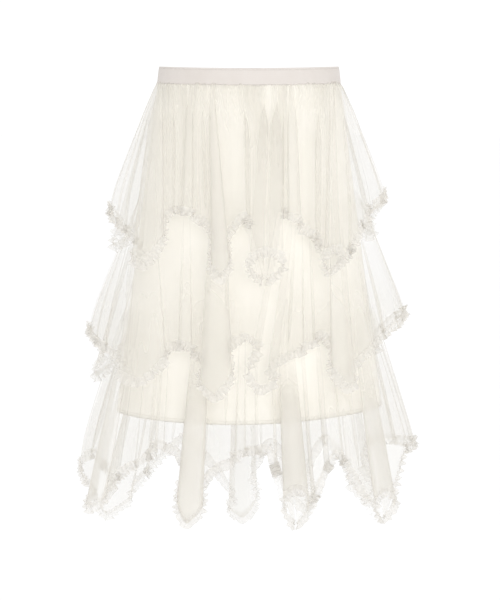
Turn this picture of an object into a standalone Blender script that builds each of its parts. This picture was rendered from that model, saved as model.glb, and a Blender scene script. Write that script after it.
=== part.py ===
"""Tiered ruffle skirt, filled out and hollow, held up at the waist.

A smooth elastic waistband carries an A-line slip (the lining) and the first of
three gathered net flounces. The other two flounces are sewn to the slip. Every
flounce hangs in flutes, its hem runs in points, and a narrow gathered ruffle
edges it. Side seams split each tube of cloth into a front and a back.

The frame: metres, +Z up, the front faces -Y. The origin is the middle of the
waist, at half the height of the waistband. An angle is measured round the
waist from the front, towards +X, so 90 is the wearer's left side seam.
"""

import math
from collections import namedtuple

import bpy

MM = 0.001

# Waistband: an oval band of elastic, a little wider at its lower edge.
BAND_HALF_HEIGHT = 13.0
BAND_TOP = (138.5, 97.0)
BAND_FOOT = (141.5, 99.5)
BAND_WALL = 2.0
BAND_COLUMNS = 48

# Cloth: the wall, the gap where pieces meet, and how far the middle of the
# front and back dips.
WALL = 1.1
SEAM_GAP = 0.3
FRONT_DIP = 2.5

# Lining: a plain A-line slip. Its hem hangs lowest at the middle of the front
# and the back, and a little higher on one side.
LINING_TOP = (141.5, 99.0)
LINING_FOOT = (207.0, 149.0)
LINING_DROP = 505.0
LINING_HEM_SAG = 11.0
LINING_HEM_LEAN = -4.5
LINING_COLUMNS = 24
LINING_ROWS = (0.0, 0.3, 0.65, 1.0)

# Ruffle trim along a hem: its width square to the hem, the longest that it may
# hang, and how far its waves stand out, column by column.
RUFFLE_WIDTH = 12.0
RUFFLE_LONGEST = 20.0
RUFFLE_WALL = 1.0
RUFFLE_GAP = 0.9
RUFFLE_WAVES = (0.0, 5.0, 1.5)
RUFFLE_STEEPEST = 0.25

# Half of a flute, from its crest to the flat cloth beside it. `along` is the
# share of the cloth and `out` is in depths. `across` is in half widths, and at
# least `least` mm. The cloth turns back behind the crest, so that the neck is
# narrower than the front. `room` is how much of a ruffle's wave fits there.
FlutePoint = namedtuple("FlutePoint", "along across least out room")
FLUTE = (
    FlutePoint(0.00, 0.00, 0.0, 1.00, 1.0),
    FlutePoint(0.25, 0.72, 0.0, 0.88, 1.0),
    FlutePoint(0.42, 1.00, 0.0, 0.58, 1.0),
    FlutePoint(0.66, 0.86, 0.0, 0.32, 0.4),
    FlutePoint(0.90, 0.62, 4.5, 0.14, 0.0),
    FlutePoint(1.00, 0.72, 6.0, 0.00, 0.2),
)

# The cloth starts to turn back where a flute stands out this far, and has
# turned back fully where it stands out that far.
TURN_STARTS = 10.0
TURN_ENDS = 24.0

# Shape of each flounce. `top` is the height of its seam, `half_width` and
# `half_depth` its oval there. It flares by `flare_x` and `flare_y` per mm of
# drop down to `knee`, and by `fall_x` and `fall_y` below that. Its flutes are
# full size at the drop `full`.
Tier = namedtuple(
    "Tier", "top half_width half_depth flare_x flare_y knee fall_x fall_y full")
TIERS = {
    "tier1": Tier(-13.3, 143.4, 101.0, 0.41, 0.273, 182.0, 0.02, 0.16, 300.0),
    "tier2": Tier(-178.0, 165.0, 117.3, 0.42, 0.23, 205.0, 0.00, 0.11, 310.0),
    "tier3": Tier(-354.0, 187.5, 135.0, 0.336, 0.16, 230.0, -0.04, 0.08, 335.0),
}
KNEE_SOFTNESS = 18.0

# Flutes of each flounce, one row each, in the order round the waist. `seam` and
# `hem` are its angles at the top and the bottom, `width` and `depth` its size
# at the hem, `drop` the hem's drop at its crest, `gather` half the width of
# gathered cloth that feeds it, `opens` how soon it opens (small is early), and
# `next_drop` the hem's drop halfway to the next row. A row with no width is a
# side seam.
Flute = namedtuple("Flute", "seam hem width depth drop gather opens next_drop")
FLUTES = {
    "tier1_front": (
        Flute(-90, -90, 0, 0, 189, 0, 1.0, 212),
        Flute(-72, -42.5, 64, 24, 274, 8, 0.75, 190),
        Flute(-39, -25.5, 26, 15, 190, 6, 1.0, 205),
        Flute(-23.5, -10.2, 33, 26, 291, 5, 1.2, 196),
        Flute(13.5, 6.2, 54, 30, 296, 9, 0.5, 192),
        Flute(26.6, 18.3, 26, 14, 200, 6, 0.8, 225),
        Flute(61.7, 33.5, 34, 22, 284, 5, 1.5, 184),
        Flute(90, 90, 0, 0, 166, 0, 1.0, 0),
    ),
    "tier1_back": (
        Flute(90, 90, 0, 0, 166, 0, 1.0, 186),
        Flute(114, 117, 38, 13, 240, 11, 0.8, 205),
        Flute(145, 146, 46, 26, 276, 11, 0.8, 192),
        Flute(176, 176, 38, 28, 288, 9, 1.0, 206),
        Flute(207, 210, 44, 24, 272, 11, 0.7, 190),
        Flute(252, 253, 40, 13, 258, 11, 0.8, 200),
        Flute(270, 270, 0, 0, 189, 0, 1.0, 0),
    ),
    "tier2_front": (
        Flute(-90, -90, 0, 0, 211, 0, 1.0, 232),
        Flute(-70, -38.5, 92, 26, 287, 13, 0.8, 230),
        Flute(-35, -22.3, 27, 15, 228, 6, 1.0, 246),
        Flute(-16.5, -11.0, 54, 28, 307, 9, 0.8, 215),
        Flute(22, 3.0, 48, 28, 294, 11, 0.9, 246),
        Flute(31, 21.5, 24, 14, 228, 6, 0.8, 214),
        Flute(51, 33.5, 42, 26, 296, 9, 0.8, 208),
        Flute(90, 90, 0, 0, 187, 0, 1.0, 0),
    ),
    "tier2_back": (
        Flute(90, 90, 0, 0, 187, 0, 1.0, 198),
        Flute(120, 128, 38, 15, 258, 11, 0.8, 226),
        Flute(146, 148, 48, 28, 306, 11, 0.8, 236),
        Flute(178, 179, 48, 30, 300, 11, 0.9, 226),
        Flute(214, 216, 58, 26, 296, 13, 0.8, 234),
        Flute(247, 248, 38, 13, 298, 11, 0.8, 230),
        Flute(270, 270, 0, 0, 211, 0, 1.0, 0),
    ),
    "tier3_front": (
        Flute(-90, -90, 0, 0, 252, 0, 1.0, 270),
        Flute(-70, -64, 42, 20, 311, 9, 0.8, 240),
        Flute(-40.5, -33.2, 20, 12, 204, 5, 0.8, 213),
        Flute(-21.7, -20, 44, 28, 322, 9, 0.6, 237),
        Flute(-2.8, -3.4, 22, 12, 216, 5, 1.0, 209),
        Flute(16.2, 16, 42, 28, 327, 9, 0.7, 218),
        Flute(58, 52.2, 44, 22, 326, 9, 0.8, 222),
        Flute(90, 90, 0, 0, 214, 0, 1.0, 0),
    ),
    "tier3_back": (
        Flute(90, 90, 0, 0, 214, 0, 1.0, 220),
        Flute(110, 112, 34, 13, 222, 9, 0.8, 222),
        Flute(133, 137.5, 46, 26, 325, 11, 0.8, 224),
        Flute(160, 161.5, 44, 28, 345, 11, 0.8, 230),
        Flute(183, 182, 48, 30, 360, 11, 0.8, 222),
        Flute(228, 232, 60, 26, 348, 13, 0.8, 240),
        Flute(270, 270, 0, 0, 252, 0, 1.0, 0),
    ),
}
FLOUNCE_ROWS = (0.0, 0.14, 0.34, 0.58, 0.8, 1.0)

# Flat cloth between flutes has a column at least every so many mm at the hem,
# and every so many degrees at the seam.
FLAT_STEP = 25.0
FLAT_TURN = 10.0
HEM_ROUNDING = 0.5

# Half the angle that the side seam's gap leaves open.
SIDE_GAP_DEGREES = 0.07

# One column of a flounce's cloth. It is a point of a flute's profile on one
# `side` of it (-1 or +1), or it lies on the flat cloth between two flutes, a
# share `between` of the way.
Column = namedtuple("Column", "left right between profile side")


def lerp(start, end, share):
    return start + (end - start) * share


def oval_point(half_width, half_depth, degrees):
    """A point on an oval, and its unit directions along it and outwards."""
    turn = math.radians(degrees)
    x, y = half_width * math.sin(turn), -half_depth * math.cos(turn)
    along_x, along_y = half_width * math.cos(turn), half_depth * math.sin(turn)
    length = math.hypot(along_x, along_y)
    along_x, along_y = along_x / length, along_y / length
    return (x, y), (along_x, along_y), (along_y, -along_x)


def with_dip(x, y, z, degrees):
    """Lower the front and the back a little, as a full waist sits."""
    return (x * MM, y * MM, (z - FRONT_DIP * math.cos(math.radians(degrees)) ** 2) * MM)


def reach(drop, knee, flare, fall):
    """How far cloth has flared out at a drop: a slope, then a steeper fall."""
    below = KNEE_SOFTNESS * math.log1p(math.exp((drop - knee) / KNEE_SOFTNESS))
    return flare * (drop - below) + fall * below


def tier_oval(tier, drop):
    return (tier.half_width + reach(drop, tier.knee, tier.flare_x, tier.fall_x),
            tier.half_depth + reach(drop, tier.knee, tier.flare_y, tier.fall_y))


def mm_per_degree(tier, degrees, drop):
    half_width, half_depth = tier_oval(tier, drop)
    turn = math.radians(degrees)
    length = math.hypot(half_width * math.cos(turn), half_depth * math.sin(turn))
    return math.radians(length)


def grown(tier, flute, drop):
    return (drop / tier.full) ** flute.opens


def across_flute(tier, flute, profile, drop):
    """How far one point of a flute's profile lies from its middle, in mm."""
    size = grown(tier, flute, drop)
    half_span = lerp(flute.gather, flute.width / 2, size)
    turned = (flute.depth * size - TURN_STARTS) / (TURN_ENDS - TURN_STARTS)
    turned = min(max(turned, 0.0), 1.0)
    return lerp(profile.along * half_span,
                max(profile.across * half_span, profile.least), turned)


def flute_angle(tier, flute, drop):
    """Where the middle of a flute is at a drop: it hangs straight from seam to hem."""
    share = drop / tier.full
    if not flute.width:
        return lerp(flute.seam, flute.hem, share)
    start = tier.half_width * math.sin(math.radians(flute.seam))
    end = tier_oval(tier, tier.full)[0] * math.sin(math.radians(flute.hem))
    turned = math.degrees(math.asin(lerp(start, end, share) / tier_oval(tier, drop)[0]))
    return 180.0 - turned if flute.seam > 90.0 else turned


def joint_angle(tier, flute, side, drop):
    """Where a flute meets the flat cloth on one side of it."""
    centre = flute_angle(tier, flute, drop)
    if not flute.width:
        return centre
    return centre + side * (across_flute(tier, flute, FLUTE[-1], drop)
                            / mm_per_degree(tier, centre, drop))


def flounce_point(tier, column, drop):
    """The point of one column of a flounce at a drop below its seam."""
    flute = column.left
    if column.profile:
        degrees = flute_angle(tier, flute, drop)
        across = column.side * across_flute(tier, flute, column.profile, drop)
        out = column.profile.out * flute.depth * grown(tier, flute, drop)
    else:
        degrees = lerp(joint_angle(tier, flute, 1, drop),
                       joint_angle(tier, column.right, -1, drop), column.between)
        across = out = 0.0
    (x, y), along, outward = oval_point(*tier_oval(tier, drop), degrees)
    x += along[0] * across + outward[0] * out
    y += along[1] * across + outward[1] * out
    return with_dip(x, y, tier.top - drop, degrees)


def flute_columns(flute):
    if not flute.width:
        return [Column(flute, flute, 0, None, 0)]
    return ([Column(flute, flute, 0, profile, -1) for profile in FLUTE[:0:-1]]
            + [Column(flute, flute, 0, profile, 1) for profile in FLUTE])


def flounce_columns(tier, flutes):
    """All columns of a flounce, with the hem's drop where the tables give it."""
    flutes = list(flutes)
    for end, side in ((0, 1), (-1, -1)):
        shift = side * SIDE_GAP_DEGREES
        flutes[end] = flutes[end]._replace(
            seam=flutes[end].seam + shift, hem=flutes[end].hem + shift)
    columns, known = [], {}
    for flute, following in zip(flutes, flutes[1:] + [None]):
        own = flute_columns(flute)
        known[len(columns) + len(own) // 2] = flute.drop
        columns += own
        if following is None:
            break
        hem_mm = (following.hem - flute.hem) * mm_per_degree(
            tier, lerp(flute.hem, following.hem, 0.5), tier.knee)
        seam_turn = following.seam - flute.seam
        steps = max(2, round(hem_mm / FLAT_STEP), math.ceil(seam_turn / FLAT_TURN))
        known[len(columns) + (steps - 1) // 2] = flute.next_drop
        columns += [Column(flute, following, step / steps, None, 0)
                    for step in range(1, steps)]
    return columns, known


def hem_drops(tier, columns, known):
    """The hem's drop at every column, eased between the known ones."""
    travelled = [0.0]
    points = [flounce_point(tier, column, tier.full) for column in columns]
    for first, second in zip(points, points[1:]):
        travelled.append(travelled[-1] + math.dist(first[:2], second[:2]))
    stops = sorted(known)
    drops = []
    for index in range(len(columns)):
        start = max(stop for stop in stops if stop <= index)
        if index == start:
            drops.append(known[start])
            continue
        end = min(stop for stop in stops if stop > index)
        share = (travelled[index] - travelled[start]) / (travelled[end] - travelled[start])
        eased = (1 - math.cos(math.pi * share)) / 2
        drops.append(lerp(known[start], known[end], lerp(share, eased, HEM_ROUNDING)))
    return drops


def steepness(first, second):
    """How much longer a slanting line is than its level run."""
    return math.dist(first, second) / math.dist(first[:2], second[:2])


def ruffle_rows(tier, columns, drops):
    """The head and foot of the ruffle that hangs from a flounce's hem."""
    hem = [flounce_point(tier, column, drop) for column, drop in zip(columns, drops)]
    slants = [steepness(first, second) for first, second in zip(hem, hem[1:])]
    head, foot = [], []
    for index, (column, drop) in enumerate(zip(columns, drops)):
        before, after = hem[max(index - 1, 0)], hem[min(index + 1, len(hem) - 1)]
        steepest = max(slants[max(index - 1, 0):index + 1])
        head.append(flounce_point(tier, column, drop + RUFFLE_GAP * steepest))
        hang = min(RUFFLE_WIDTH * steepness(before, after), RUFFLE_LONGEST)
        x, y, z = flounce_point(tier, column, drop + hang)
        room = column.profile.room if column.profile else 1.0
        level = math.dist(before[:2], after[:2])
        wave = min(RUFFLE_WAVES[index % len(RUFFLE_WAVES)] * room * MM,
                   RUFFLE_STEEPEST * level)
        out_x, out_y = (after[1] - before[1]) / level, (before[0] - after[0]) / level
        foot.append((x + out_x * wave, y + out_y * wave, z))
    return [head, foot]


def make_material(name, colour, roughness):
    material = bpy.data.materials.new(name)
    material.use_nodes = True
    shader = material.node_tree.nodes["Principled BSDF"]
    shader.inputs["Base Color"].default_value = (*colour, 1.0)
    shader.inputs["Roughness"].default_value = roughness
    shader.inputs["Metallic"].default_value = 0.0
    return material


def make_cloth(name, rows, wall, material, closed=False):
    """A wall of cloth through rows of points, given from its top row down."""
    width = len(rows[0])
    points = [point for row in rows for point in row]
    faces = []
    for row in range(len(rows) - 1):
        for column in range(width if closed else width - 1):
            following = (column + 1) % width
            high, low = row * width + column, (row + 1) * width + column
            high_next, low_next = row * width + following, (row + 1) * width + following
            if (math.dist(points[high], points[low_next])
                    < math.dist(points[low], points[high_next])):
                faces += [(high, low, low_next), (high, low_next, high_next)]
            else:
                faces += [(high, low, high_next), (low, low_next, high_next)]
    mesh = bpy.data.meshes.new(name)
    mesh.from_pydata(points, [], faces)
    mesh.shade_smooth()
    mesh.materials.append(material)
    cloth = bpy.data.objects.new(name, mesh)
    skirt.objects.link(cloth)
    solidify = cloth.modifiers.new("wall", "SOLIDIFY")
    solidify.thickness = wall * MM
    solidify.offset = 0.0
    solidify.use_even_offset = False
    solidify.use_quality_normals = True
    return cloth


def make_waistband(material):
    rows = []
    for height, (half_width, half_depth) in (
            (BAND_HALF_HEIGHT, BAND_TOP), (-BAND_HALF_HEIGHT, BAND_FOOT)):
        row = []
        for step in range(BAND_COLUMNS):
            degrees = 360.0 * step / BAND_COLUMNS
            (x, y), _, _ = oval_point(half_width, half_depth, degrees)
            row.append(with_dip(x, y, height, degrees))
        rows.append(row)
    return make_cloth("waistband", rows, BAND_WALL, material, closed=True)


def make_lining(name, start, end, material):
    top = -BAND_HALF_HEIGHT - SEAM_GAP
    rows = []
    for share in LINING_ROWS:
        row = []
        for step in range(LINING_COLUMNS + 1):
            degrees = lerp(start + SIDE_GAP_DEGREES, end - SIDE_GAP_DEGREES,
                           step / LINING_COLUMNS)
            turn = math.radians(degrees)
            drop = share * (LINING_DROP + LINING_HEM_SAG * math.cos(turn) ** 2
                            + LINING_HEM_LEAN * math.sin(turn))
            (x, y), _, _ = oval_point(lerp(LINING_TOP[0], LINING_FOOT[0], share),
                                      lerp(LINING_TOP[1], LINING_FOOT[1], share), degrees)
            row.append(with_dip(x, y, top - drop, degrees))
        rows.append(row)
    return make_cloth(name, rows, WALL, material)


def make_flounce(name, ruffle_name, net, ruffle_net):
    """One half of a flounce, and the ruffle along its hem."""
    tier = TIERS[name.split("_")[0]]
    columns, known = flounce_columns(tier, FLUTES[name])
    drops = hem_drops(tier, columns, known)
    rows = [[flounce_point(tier, column, drop * share)
             for column, drop in zip(columns, drops)] for share in FLOUNCE_ROWS]
    make_cloth(name, rows, WALL, net)

    make_cloth(ruffle_name, ruffle_rows(tier, columns, drops), RUFFLE_WALL, ruffle_net)


for old in list(bpy.data.objects):
    bpy.data.objects.remove(old, do_unlink=True)
skirt = bpy.data.collections.new("tiered_ruffle_skirt")
bpy.context.scene.collection.children.link(skirt)

elastic = make_material("elastic", (0.80, 0.76, 0.72), 0.7)
lining_cloth = make_material("lining_cloth", (0.88, 0.85, 0.77), 0.55)
net_cloth = make_material("net", (0.90, 0.88, 0.81), 0.8)
ruffle_cloth = make_material("ruffle_net", (0.86, 0.84, 0.78), 0.8)

make_waistband(elastic)
make_lining("lining_front", -90, 90, lining_cloth)
make_lining("lining_back", 90, 270, lining_cloth)
for tier_name in TIERS:
    for half in ("front", "back"):
        make_flounce(f"{tier_name}_{half}", f"ruffle{tier_name[-1]}_{half}",
                     net_cloth, ruffle_cloth)
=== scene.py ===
# %% [markdown]
# # A tiered ruffle skirt in sheer net
# This skirt is a stack of three gathered net flounces over a plain slip, on a
# smooth elastic waistband. Each flounce hangs in deep flutes, its hem runs in
# points, and a narrow gathered ruffle edges it. Net is so sheer that its look
# comes from how many layers lie behind each other, so every fold is real
# geometry here. The solid model gives the frame: the visible cloth is a set of
# thin sheets that hang exactly where its solids are.

# %% Load the solid model
import math
from collections import namedtuple

import bpy
import numpy as np
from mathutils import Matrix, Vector


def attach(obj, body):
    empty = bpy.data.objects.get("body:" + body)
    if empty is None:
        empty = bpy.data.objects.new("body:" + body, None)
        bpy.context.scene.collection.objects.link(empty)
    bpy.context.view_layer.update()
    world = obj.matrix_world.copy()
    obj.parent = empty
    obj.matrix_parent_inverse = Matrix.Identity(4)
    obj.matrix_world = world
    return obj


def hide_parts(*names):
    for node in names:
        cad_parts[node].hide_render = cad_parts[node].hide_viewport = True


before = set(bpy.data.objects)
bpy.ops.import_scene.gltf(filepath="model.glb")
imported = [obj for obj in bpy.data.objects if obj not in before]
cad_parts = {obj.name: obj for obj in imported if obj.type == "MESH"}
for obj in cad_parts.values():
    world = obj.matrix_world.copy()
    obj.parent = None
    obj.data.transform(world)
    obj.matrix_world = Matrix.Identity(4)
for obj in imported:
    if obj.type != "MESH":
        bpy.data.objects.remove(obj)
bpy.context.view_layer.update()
MM = 0.001
print("solid model:", sorted(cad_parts))

# %% [markdown]
# ## The oval of the body
# A filled-out skirt is round. Each level of it is an oval, wider than it is
# deep, and every flounce is drawn by an angle round that oval and a drop below
# its seam. The angle is 0 at the front and grows towards the wearer's left.
# A full waist dips a little at its front and back.

# %% Ovals
FRONT_DIP = 2.5


def oval_point(half_width, half_depth, degrees):
    """Points on ovals, with unit directions along them and outwards."""
    turn = np.radians(degrees)
    x, y = half_width * np.sin(turn), -half_depth * np.cos(turn)
    along_x, along_y = half_width * np.cos(turn), half_depth * np.sin(turn)
    length = np.hypot(along_x, along_y)
    return x, y, along_x / length, along_y / length


def place(x, y, z, degrees):
    """Stack coordinates in metres, with the front and back lowered a little."""
    dip = FRONT_DIP * np.cos(np.radians(degrees)) ** 2
    return np.stack([x * MM, y * MM, (z - dip) * MM], axis=-1)


def mm_per_degree(half_width, half_depth, degrees):
    """How many mm of an oval's edge lie in one degree at some angles."""
    turn = np.radians(degrees)
    return np.radians(np.hypot(half_width * np.cos(turn), half_depth * np.sin(turn)))


def lerp(start, end, share):
    return start + (end - start) * share


def ease(share):
    """A soft step from 0 to 1."""
    share = np.clip(share, 0.0, 1.0)
    return share * share * (3.0 - 2.0 * share)


print("mm per degree at the front and side of a 140 by 100 mm oval:",
      mm_per_degree(140.0, 100.0, np.array([0.0, 90.0])).round(2))

# %% [markdown]
# ## How a flounce flares
# A flounce flares quickly over the hips and then falls almost straight, so its
# oval grows by one slope down to a knee and by another below it. Sizes in the
# tables are in mm, and heights are measured from the middle of the waistband.

# %% Ovals of the three flounces
Tier = namedtuple(
    "Tier", "top half_width half_depth flare_x flare_y knee fall_x fall_y full")
TIERS = {
    "tier1": Tier(-13.3, 143.4, 101.0, 0.41, 0.273, 182.0, 0.02, 0.16, 300.0),
    "tier2": Tier(-178.0, 165.0, 117.3, 0.42, 0.23, 205.0, 0.00, 0.11, 310.0),
    "tier3": Tier(-354.0, 187.5, 135.0, 0.336, 0.16, 230.0, -0.04, 0.08, 335.0),
}
KNEE_SOFTNESS = 18.0


def reach(drop, knee, flare, fall):
    """How far cloth has flared out at a drop: a slope, then a steeper fall."""
    below = KNEE_SOFTNESS * np.logaddexp(0.0, (drop - knee) / KNEE_SOFTNESS)
    return flare * (drop - below) + fall * below


def tier_oval(tier, drop):
    """Half the width and half the depth of a flounce at a drop below its seam."""
    return (tier.half_width + reach(drop, tier.knee, tier.flare_x, tier.fall_x),
            tier.half_depth + reach(drop, tier.knee, tier.flare_y, tier.fall_y))


def tier_of(name):
    """The flounce that one of its halves belongs to."""
    return TIERS[name.split("_")[0]]


for name, tier in TIERS.items():
    wide, deep = tier_oval(tier, tier.full)
    print(name, "oval at its hem:", round(2 * wide), "by", round(2 * deep), "mm")

# %% [markdown]
# ## The flutes
# Flutes are the deep folds that the gathered cloth falls into. One row of the
# table is one flute: its angle at the seam and at the hem, its width and depth
# at the hem, how far the hem drops there, half its width at the seam, the
# power by which it opens, and how far the hem drops beside it. Its neck says
# how far its sides close behind it, from 0 for an open trough to 1 for a closed
# loop. A loop with a notch is cut higher at its crest than where it closes, and
# the last number says how much denser than usual its net is gathered.

# %% Table of the flutes
Flute = namedtuple(
    "Flute", "seam hem width depth drop gather opens next_drop neck notch dense",
    defaults=(0.35, 0.0, 1.0))
FLUTES = {
    "tier1_front": (
        Flute(-90, -90, 0, 0, 189, 0, 1.0, 212),
        Flute(-72, -42.5, 64, 24, 274, 8, 0.75, 190, 0.35, 0, 0.9),
        Flute(-39, -25.5, 26, 15, 190, 6, 1.0, 205),
        Flute(-23.5, -10.2, 33, 26, 291, 5, 1.2, 196, 0.35, 0, 2.6),
        Flute(13.5, 6.2, 54, 30, 296, 9, 0.5, 192, 0.9, 46, 0.2),
        Flute(26.6, 18.3, 26, 14, 200, 6, 0.8, 225),
        Flute(61.7, 33.5, 34, 22, 284, 5, 1.5, 184, 0.9, 36, 0.5),
        Flute(90, 90, 0, 0, 166, 0, 1.0, 0),
    ),
    "tier1_back": (
        Flute(90, 90, 0, 0, 166, 0, 1.0, 186),
        Flute(114, 117, 38, 13, 240, 11, 0.8, 205),
        Flute(145, 146, 46, 26, 276, 11, 0.8, 192),
        Flute(176, 176, 38, 28, 288, 9, 1.0, 206),
        Flute(207, 210, 44, 24, 272, 11, 0.7, 190),
        Flute(252, 253, 40, 13, 258, 11, 0.8, 200),
        Flute(270, 270, 0, 0, 189, 0, 1.0, 0),
    ),
    "tier2_front": (
        Flute(-90, -90, 0, 0, 211, 0, 1.0, 232),
        Flute(-70, -38.5, 92, 26, 287, 13, 0.8, 230, 0.1, 0, 0.8),
        Flute(-35, -22.3, 27, 15, 228, 6, 1.0, 246),
        Flute(-16.5, -11.0, 54, 28, 307, 9, 0.8, 215, 0.35, 0, 1.1),
        Flute(22, 3.0, 48, 28, 294, 11, 0.9, 246, 0.6, 0, 0.15),
        Flute(31, 21.5, 24, 14, 228, 6, 0.8, 214),
        Flute(51, 33.5, 42, 26, 296, 9, 0.8, 208),
        Flute(90, 90, 0, 0, 187, 0, 1.0, 0),
    ),
    "tier2_back": (
        Flute(90, 90, 0, 0, 187, 0, 1.0, 198),
        Flute(120, 128, 38, 15, 258, 11, 0.8, 226),
        Flute(146, 148, 48, 28, 306, 11, 0.8, 236),
        Flute(178, 179, 48, 30, 300, 11, 0.9, 226),
        Flute(214, 216, 58, 26, 296, 13, 0.8, 234),
        Flute(247, 248, 38, 13, 298, 11, 0.8, 230),
        Flute(270, 270, 0, 0, 211, 0, 1.0, 0),
    ),
    "tier3_front": (
        Flute(-90, -90, 0, 0, 252, 0, 1.0, 270),
        Flute(-70, -64, 42, 20, 311, 9, 0.8, 240, 0.35, 0, 1.8),
        Flute(-40.5, -33.2, 20, 12, 204, 5, 0.8, 213),
        Flute(-21.7, -20, 44, 28, 322, 9, 0.6, 237, 0.35, 0, 3.4),
        Flute(-2.8, -3.4, 22, 12, 216, 5, 1.0, 209),
        Flute(16.2, 16, 42, 28, 327, 9, 0.7, 218, 0.95, 58, 2.6),
        Flute(58, 52.2, 44, 22, 326, 9, 0.8, 222, 0.9, 46, 2.4),
        Flute(90, 90, 0, 0, 214, 0, 1.0, 0),
    ),
    "tier3_back": (
        Flute(90, 90, 0, 0, 214, 0, 1.0, 220),
        Flute(110, 112, 34, 13, 222, 9, 0.8, 222, 0.35, 0, 2.5),
        Flute(133, 137.5, 46, 26, 325, 11, 0.8, 224),
        Flute(160, 161.5, 44, 28, 345, 11, 0.8, 230, 0.35, 0, 0.7),
        Flute(183, 182, 48, 30, 360, 11, 0.8, 222, 0.35, 0, 1.7),
        Flute(228, 232, 60, 26, 348, 13, 0.8, 240),
        Flute(270, 270, 0, 0, 252, 0, 1.0, 0),
    ),
}

for name, rows in FLUTES.items():
    print(name, "has", sum(1 for row in rows if row.width), "flutes")

# %% [markdown]
# ## The section of one flute
# Cut across, a flute of soft net is like a loop: a round front, two sides that
# turn back behind it, and a narrow neck. Looked at from the front there are
# three layers, which is why a flute of sheer net reads as a darker column. The
# table holds half of that loop, from its crest to the flat cloth beside it, and
# a smooth curve runs through its points. A row says how far along the cloth a
# point lies, how wide it stands in an open and in a closed loop, the least that
# this may be in mm, and how far out it stands.

# %% The loop of a flute
LoopPoint = namedtuple("LoopPoint", "along open closed least out")
LOOP = (
    LoopPoint(0.00, 0.00, 0.00, 0.0, 1.00),
    LoopPoint(0.25, 0.66, 0.70, 0.0, 0.92),
    LoopPoint(0.42, 0.94, 1.00, 0.0, 0.64),
    LoopPoint(0.66, 0.97, 0.66, 0.0, 0.34),
    LoopPoint(0.90, 0.86, 0.08, -3.0, 0.12),
    LoopPoint(1.00, 0.98, -0.05, -3.0, 0.00),
)


def loop_value(field, where):
    """One field of the loop at shares of the way from crest to flat cloth."""
    knots = np.array([getattr(point, field) for point in LOOP])
    if field == "out":
        before, after = knots[1], 0.0
    else:
        before, after = 2 * knots[0] - knots[1], 2 * knots[-1] - knots[-2]
    knots = np.concatenate([[before], knots, [after]])
    spot = np.clip(where, 0.0, 1.0) * (len(LOOP) - 1)
    first = np.minimum(spot.astype(int), len(LOOP) - 2)
    t = spot - first
    # a smooth curve from point b to point c, steered by their neighbours a and d
    a, b, c, d = (knots[first + step] for step in range(4))
    return b + 0.5 * t * (c - a + t * (2 * a - 5 * b + 4 * c - d + t * (3 * (b - c) + d - a)))


print("half width of a closed flute at its crest, side and neck, as a share:",
      loop_value("closed", np.array([0.0, 0.4, 1.0])))

# %% [markdown]
# ## Columns of cloth
# The net is laid out in columns that run from the seam to the hem, as its
# threads do. Low down they lie about two millimetres apart, both through the
# flutes and on the flat cloth between them. A column keeps its place in the
# cloth all the way down, so gathers and creases that belong to it fall with it.

# %% Columns of one half flounce
SIDE_GAP_DEGREES = 0.07
FOLD_STEPS = 22
FLAT_STEP = 1.5
FEWEST_FLAT_STEPS = 8
Columns = namedtuple("Columns", "left right between side where known")


def lay_columns(tier, flutes):
    """All columns of half a flounce, and the hem drops the table gives."""
    flutes = list(flutes)
    for end, side in ((0, 1), (-1, -1)):
        shift = side * SIDE_GAP_DEGREES
        flutes[end] = flutes[end]._replace(
            seam=flutes[end].seam + shift, hem=flutes[end].hem + shift)
    rows, known = [], {}
    for number, flute in enumerate(flutes):
        if flute.width:
            own = [(number, number, 0.0, -1.0, step / FOLD_STEPS)
                   for step in range(FOLD_STEPS, 0, -1)]
            own += [(number, number, 0.0, 1.0, step / FOLD_STEPS)
                    for step in range(FOLD_STEPS + 1)]
        else:
            own = [(number, number, 0.0, 0.0, 0.0)]
        known[len(rows) + len(own) // 2] = flute.drop - flute.notch
        if flute.notch:
            known[len(rows)] = known[len(rows) + len(own) - 1] = flute.drop
        rows += own
        if number + 1 == len(flutes):
            break
        following = flutes[number + 1]
        oval = tier_oval(tier, tier.knee)
        middle = lerp(flute.hem, following.hem, 0.5)
        flat_mm = (following.hem - flute.hem) * float(mm_per_degree(*oval, middle))
        steps = max(FEWEST_FLAT_STEPS, round(flat_mm / FLAT_STEP))
        known[len(rows) + (steps - 1) // 2] = flute.next_drop
        rows += [(number, number + 1, step / steps, 0.0, -1.0) for step in range(1, steps)]
    left, right, between, side, where = zip(*rows)
    return flutes, Columns(np.array(left), np.array(right), np.array(between),
                           np.array(side), np.array(where), known)


def flute_field(flutes, index, field):
    """One field of the flutes, read for each column."""
    return np.array([getattr(flute, field) for flute in flutes], dtype=float)[index]


for name, rows in FLUTES.items():
    laid = lay_columns(tier_of(name), rows)[1]
    print(name, "has", len(laid.left), "columns of cloth")

# %% [markdown]
# ## Creases and gathers
# Under a gathering seam the net starts as dozens of tiny pleats, and only a
# few of them grow into long soft creases. Each is a small ridge with its own
# place, width, depth and length. The numbers are uneven, as hand-guided
# gathers are, and they come from a seeded series so that the skirt is the same
# every time it is made.

# %% Creases
Crease = namedtuple("Crease", "spacing wide deep starts long")
CREASES = (
    Crease(14.0, 9.0, 1.6, 0.0, 170.0),
    Crease(18.0, 9.5, 2.4, 6.0, 220.0),
    Crease(31.0, 14.0, 3.2, 50.0, 440.0),
)
CREASE_VARIES = {"wide": (0.7, 1.4), "deep": (0.35, 1.2), "long": (0.45, 1.3),
                 "drift": (-0.03, 0.03), "spacing": (0.6, 1.5)}
CREASE_WIDENS = 0.5
CREASE_WIDEST = 2.2
DRIFT_ENDS = 150.0
CLOTH_SPREAD = 1.9
SPREAD_ENDS = 300.0


def spread_at(drop):
    """How many times wider the cloth is than at its seam."""
    return 1.0 + (CLOTH_SPREAD - 1.0) * np.clip(drop / SPREAD_ENDS, 0.0, 1.0)


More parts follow.
